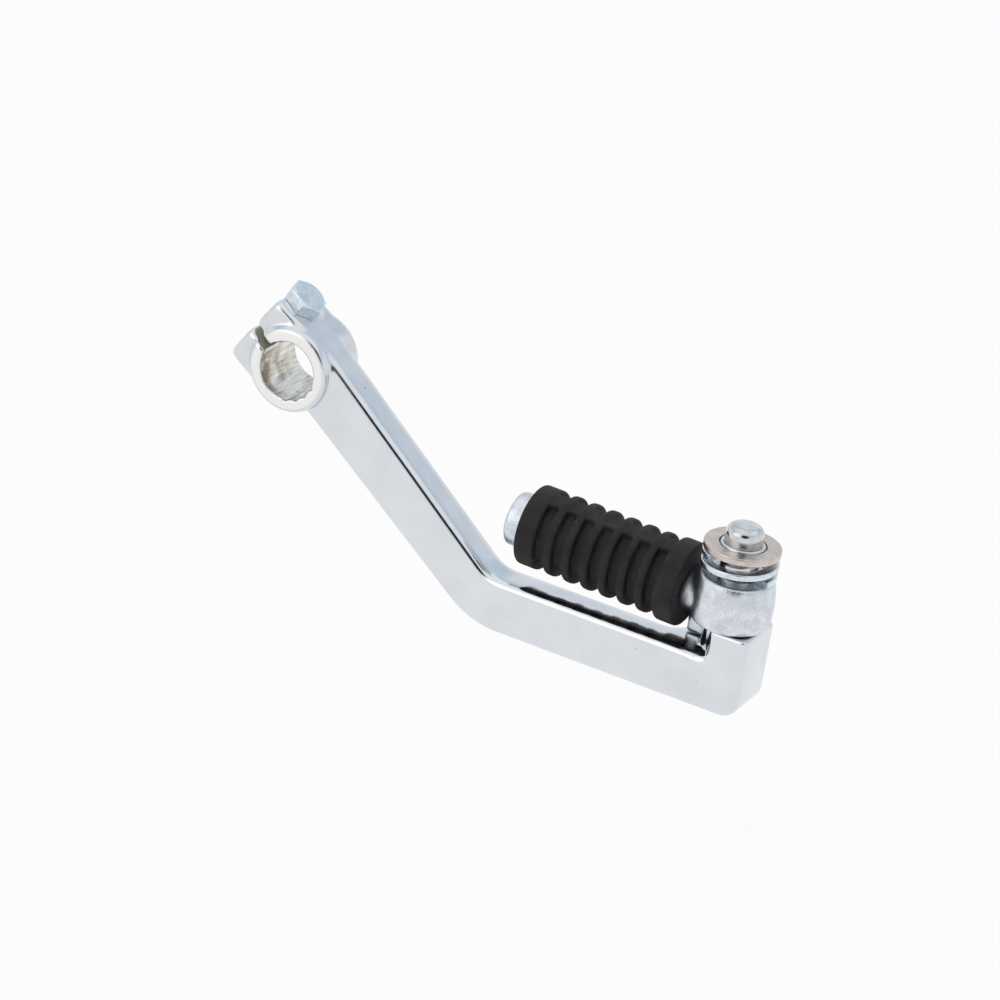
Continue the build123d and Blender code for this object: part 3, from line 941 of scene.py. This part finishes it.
@dataclass
class Studio:
    """Pale floor, soft light and the photograph's camera.

    The camera's place and the floor's height are in millimetres, the lamps and the floor's side in metres.
    """

    floor_height: float = -105.0
    floor_half: float = 6.0
    eye: tuple[float, float, float] = (533.2, -1026.3, 493.5)
    right: tuple[float, float, float] = (0.8709, 0.4697, 0.1445)
    up: tuple[float, float, float] = (-0.3141, 0.3060, 0.8987)
    lens: float = 165.2
    sensor: float = 36.0
    dark_way: tuple[float, float, float] = (0.378, -0.828, 0.414)
    window_way: tuple[float, float, float] = (-0.433, -0.803, 0.409)
    window_light: float = 1.5
    gap_edge: tuple[float, float] = (0.895, 0.962)
    window_edge: tuple[float, float] = (0.88, 0.96)
    floor_glow: float = 0.93
    fill: float = 0.35
    lamp_aim: tuple[float, float, float] = (0.07, 0.0, -0.02)
    key_spot: tuple[float, float, float] = (-0.35, -0.5, 1.1)
    key_side: float = 0.9
    key_power: float = 7.0
    rim_spot: tuple[float, float, float] = (0.5, 0.9, 0.8)
    rim_side: float = 0.7
    rim_share: float = 0.6
    paper: str = "F2F2F2"
    dark: str = "30353D"
    air: str = "F6F8FB"

    def camera(self) -> None:
        """Sets the camera where the photograph was taken."""
        data = bpy.data.cameras.new("photo_camera")
        data.lens = self.lens
        data.sensor_width = self.sensor
        camera = bpy.data.objects.new("photo_camera", data)
        bpy.context.scene.collection.objects.link(camera)
        right = Vector(self.right).normalized()
        back = right.cross(Vector(self.up)).normalized()
        up = back.cross(right)
        turn = Matrix((right, up, back)).transposed().to_4x4()
        camera.matrix_world = Matrix.Translation(Vector(self.eye) * MM) @ turn
        bpy.context.scene.camera = camera

    def seen(self, tree: bpy.types.NodeTree) -> bpy.types.NodeSocket:
        """Returns 1 for rays that see the background: camera, glossy and transmission rays."""
        path = node(tree, "ShaderNodeLightPath").outputs
        direct = {0: path["Is Camera Ray"], 1: path["Is Glossy Ray"]}
        either = node(tree, "ShaderNodeMath", direct, operation="MAXIMUM").outputs[0]
        every = {0: either, 1: path["Is Transmission Ray"]}
        return node(tree, "ShaderNodeMath", every, operation="MAXIMUM").outputs[0]

    def floor(self) -> None:
        """Lays the pale floor, seen nearly white, with the object's shadow on it."""
        mesh = bpy.data.meshes.new("studio_floor")
        half = self.floor_half
        height = self.floor_height * MM
        corners = [(-half, -half, height), (half, -half, height), (half, half, height), (-half, half, height)]
        mesh.from_pydata(corners, [], [(0, 1, 2, 3)])
        material = bpy.data.materials.new("pale_floor_paper")
        material.use_nodes = True
        tree = material.node_tree
        tree.nodes.clear()
        paper = node(tree, "ShaderNodeBsdfDiffuse", {"Color": linear(self.paper)}).outputs["BSDF"]
        glow_inputs = {"Color": linear("FFFFFF"), "Strength": 1.0}
        glow = node(tree, "ShaderNodeEmission", glow_inputs).outputs["Emission"]
        share_inputs = {0: self.seen(tree), 1: self.floor_glow}
        share = node(tree, "ShaderNodeMath", share_inputs, operation="MULTIPLY").outputs[0]
        mixed = node(tree, "ShaderNodeMixShader", {"Fac": share, 1: paper, 2: glow}).outputs["Shader"]
        node(tree, "ShaderNodeOutputMaterial", {"Surface": mixed})
        mesh.materials.append(material)
        floor = bpy.data.objects.new("studio_floor", mesh)
        bpy.context.scene.collection.objects.link(floor)

    def sky(self) -> None:
        """Lights the room evenly, and shows polished metal a cool wall, a window and a dark gap."""
        world = bpy.data.worlds.new("studio_room")
        world.use_nodes = True
        bpy.context.scene.world = world
        tree = world.node_tree
        tree.nodes.clear()
        way = node(tree, "ShaderNodeTexCoord").outputs["Generated"]
        split = node(tree, "ShaderNodeSeparateXYZ", {"Vector": way}).outputs
        stops = [
            (0.0, "E9ECF0"),
            (0.38, "F6F8FA"),
            (0.46, "DDE5EE"),
            (0.55, "C9D7E6"),
            (0.68, "E8EEF5"),
            (0.8, "FFFFFF"),
        ]
        wall = node(tree, "ShaderNodeValToRGB", {"Fac": split["Z"]}, stops).outputs["Color"]
        shown = wall
        light = (self.window_light,) * 3 + (1.0,)
        gap = (self.dark_way, self.gap_edge, linear(self.dark))
        window = (self.window_way, self.window_edge, light)
        for middle, (outer, inner), colour in (gap, window):
            near_inputs = {0: way, 1: middle}
            near = node(tree, "ShaderNodeVectorMath", near_inputs, operation="DOT_PRODUCT").outputs["Value"]
            edge_inputs = {"Value": near, "From Min": outer, "From Max": inner, "To Min": 0.0, "To Max": 1.0}
            edge = node(tree, "ShaderNodeMapRange", edge_inputs).outputs["Result"]
            patch_inputs = {"Factor": edge, 6: shown, 7: colour}
            shown = node(tree, "ShaderNodeMix", patch_inputs, data_type="RGBA").outputs[2]
        room = node(tree, "ShaderNodeBackground", {"Color": shown, "Strength": 1.0}).outputs["Background"]
        soft_inputs = {"Color": linear(self.air), "Strength": self.fill}
        soft = node(tree, "ShaderNodeBackground", soft_inputs).outputs["Background"]
        mixed_inputs = {"Fac": self.seen(tree), 1: soft, 2: room}
        mixed = node(tree, "ShaderNodeMixShader", mixed_inputs).outputs["Shader"]
        node(tree, "ShaderNodeOutputWorld", {"Surface": mixed})

    def lamp(self, name: str, spot: tuple[float, float, float], side: float, power: float) -> None:
        """Hangs a square soft lamp that faces the object.

        Args:
            name: Name of the lamp.
            spot: Its place, in metres.
            side: Its side, in metres.
            power: Its power, in watts.
        """
        data = bpy.data.lights.new(name, "AREA")
        data.size = side
        data.energy = power
        lamp = bpy.data.objects.new(name, data)
        lamp.visible_glossy = False
        bpy.context.scene.collection.objects.link(lamp)
        aim = Vector(self.lamp_aim) - Vector(spot)
        lamp.matrix_world = Matrix.Translation(spot) @ aim.to_track_quat("-Z", "Y").to_matrix().to_4x4()

    def build(self) -> None:
        """Sets the camera, floor, room and lamps."""
        bpy.context.scene.view_settings.view_transform = "Standard"
        self.camera()
        self.floor()
        self.sky()
        self.lamp("key_softbox", self.key_spot, self.key_side, self.key_power)
        self.lamp("rim_softbox", self.rim_spot, self.rim_side, self.key_power * self.rim_share)


def main() -> None:
    """Builds the lever, the pivot, the pedal and the studio."""
    logging.basicConfig(level=logging.INFO)
    hinge = [value / MM for value in frame["joints"][0]["pos_m"]]
    bore = frame["record"]["mounts"][0]["dims"]
    slot_angle, slot_width = 147.0, 2.5
    radius, length = bore["r_mm"], bore["length_mm"]
    chrome = ChromePlate("chrome_on_polished_steel", radius, length, slot_angle, slot_width)
    casting = PlatedCasting("plated_shot_blasted_casting")
    rubber = MouldedRubber("moulded_black_rubber")
    polished = PolishedSteel("turned_polished_steel", axis_x=hinge[0], axis_y=hinge[1])
    ground = GroundSteel("barrelled_bare_steel")
    CrankLever(chrome, ZincPlate("blue_zinc_bolt"), radius, slot_angle, slot_width).build()
    PivotStack(polished, ground, ZincPlate("blue_zinc_wire"), hinge[0], hinge[1]).build()
    FoldingPedal(casting, rubber, hinge[0], hinge[1], hinge[2]).build()
    Studio().build()


if __name__ == "__main__":
    main()
